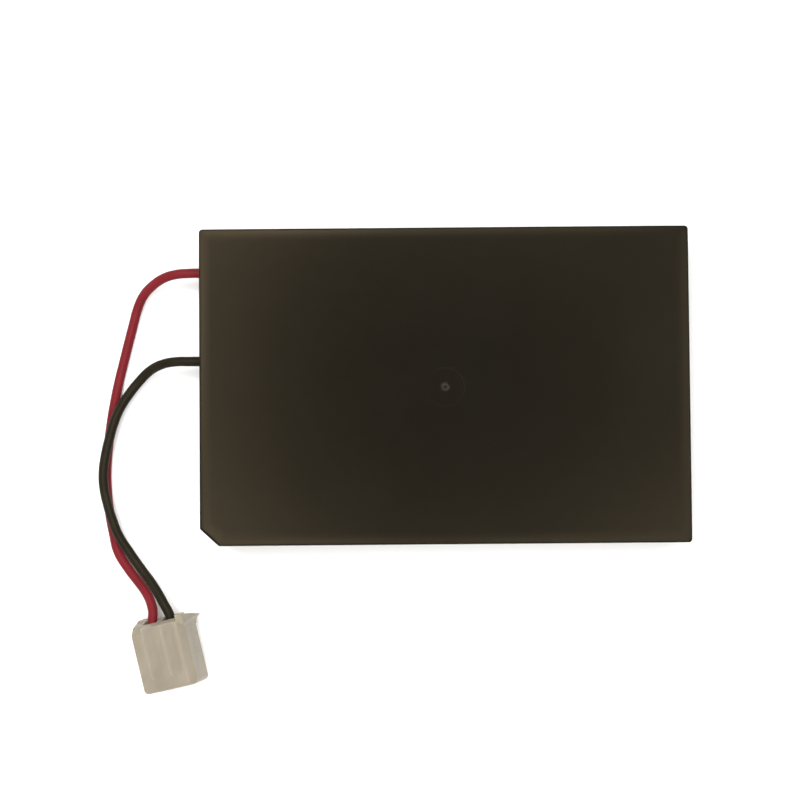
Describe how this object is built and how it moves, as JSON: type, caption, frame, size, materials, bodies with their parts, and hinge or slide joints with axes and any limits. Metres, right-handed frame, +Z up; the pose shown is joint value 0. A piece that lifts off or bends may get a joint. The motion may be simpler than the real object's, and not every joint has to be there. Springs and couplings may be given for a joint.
{
  "type": "rigid-cased lithium polymer battery pack",
  "caption": "Flat rigid-cased rechargeable pack holding a pouch cell and its protection board, with a red and a black lead that end in a small crimp connector.",
  "frame": {"origin": "bottom centre of the case, on the surface that it stands on", "axes": "+X along the case's long side, away from the leads; +Y along its short side, away from the keyed corner; +Z up, out of the plain face with the gate mark"},
  "size_m": [0.0732, 0.0571, 0.0081],
  "materials": {
    "case": "fine matt moulded texture, dark warm brown-black",
    "label": "smooth matt white, blank",
    "foam": "matt grey foam",
    "pouch_film": "satin silver laminate",
    "anode_coating": "matt graphite",
    "cathode_coating": "matt dark oxide",
    "separator_film": "matt white film",
    "polyimide_tape": "clear amber",
    "aluminium": "satin",
    "nickel": "satin",
    "sealant": "milky",
    "insulating_paper": "matt",
    "board": "solder mask green",
    "chip": "matt black",
    "ceramic": "matt",
    "solder": "bright",
    "copper": "bare strands",
    "red_insulation": "semi-matt soft vinyl",
    "black_insulation": "semi-matt soft vinyl",
    "nylon": "translucent natural white",
    "tinned_contact": "bright tin"
  },
  "bodies": {
    "root": {"case_shell": "case", "case_cover": "case", "blank_label": "label", "cell_foam_pad": "foam", "cell_foam_tape": "foam", "pouch_cup": "pouch_film", "pouch_sheet": "pouch_film", "roll_end_tape": "polyimide_tape", "positive_tab": "aluminium", "negative_tab": "nickel", "positive_tab_sealant": "sealant", "negative_tab_sealant": "sealant", "anode_strip": "anode_coating", "inner_separator": "separator_film", "cathode_strip": "cathode_coating", "outer_separator": "separator_film", "protection_board": "board", "board_insulator": "insulating_paper", "board_tape": "polyimide_tape", "switch_chip": "chip", "controller_chip": "chip", "sense_resistor": "ceramic", "supply_resistor": "ceramic", "filter_capacitor": "ceramic", "positive_weld_plate": "nickel", "negative_weld_plate": "nickel", "positive_solder_joint": "solder", "negative_solder_joint": "solder", "red_lead": "red_insulation", "black_lead": "black_insulation", "red_board_strands": "copper", "black_board_strands": "copper", "plug_housing": "nylon", "red_contact": "tinned_contact", "black_contact": "tinned_contact", "red_plug_strands": "copper", "black_plug_strands": "copper"}
  },
  "joints": []
}
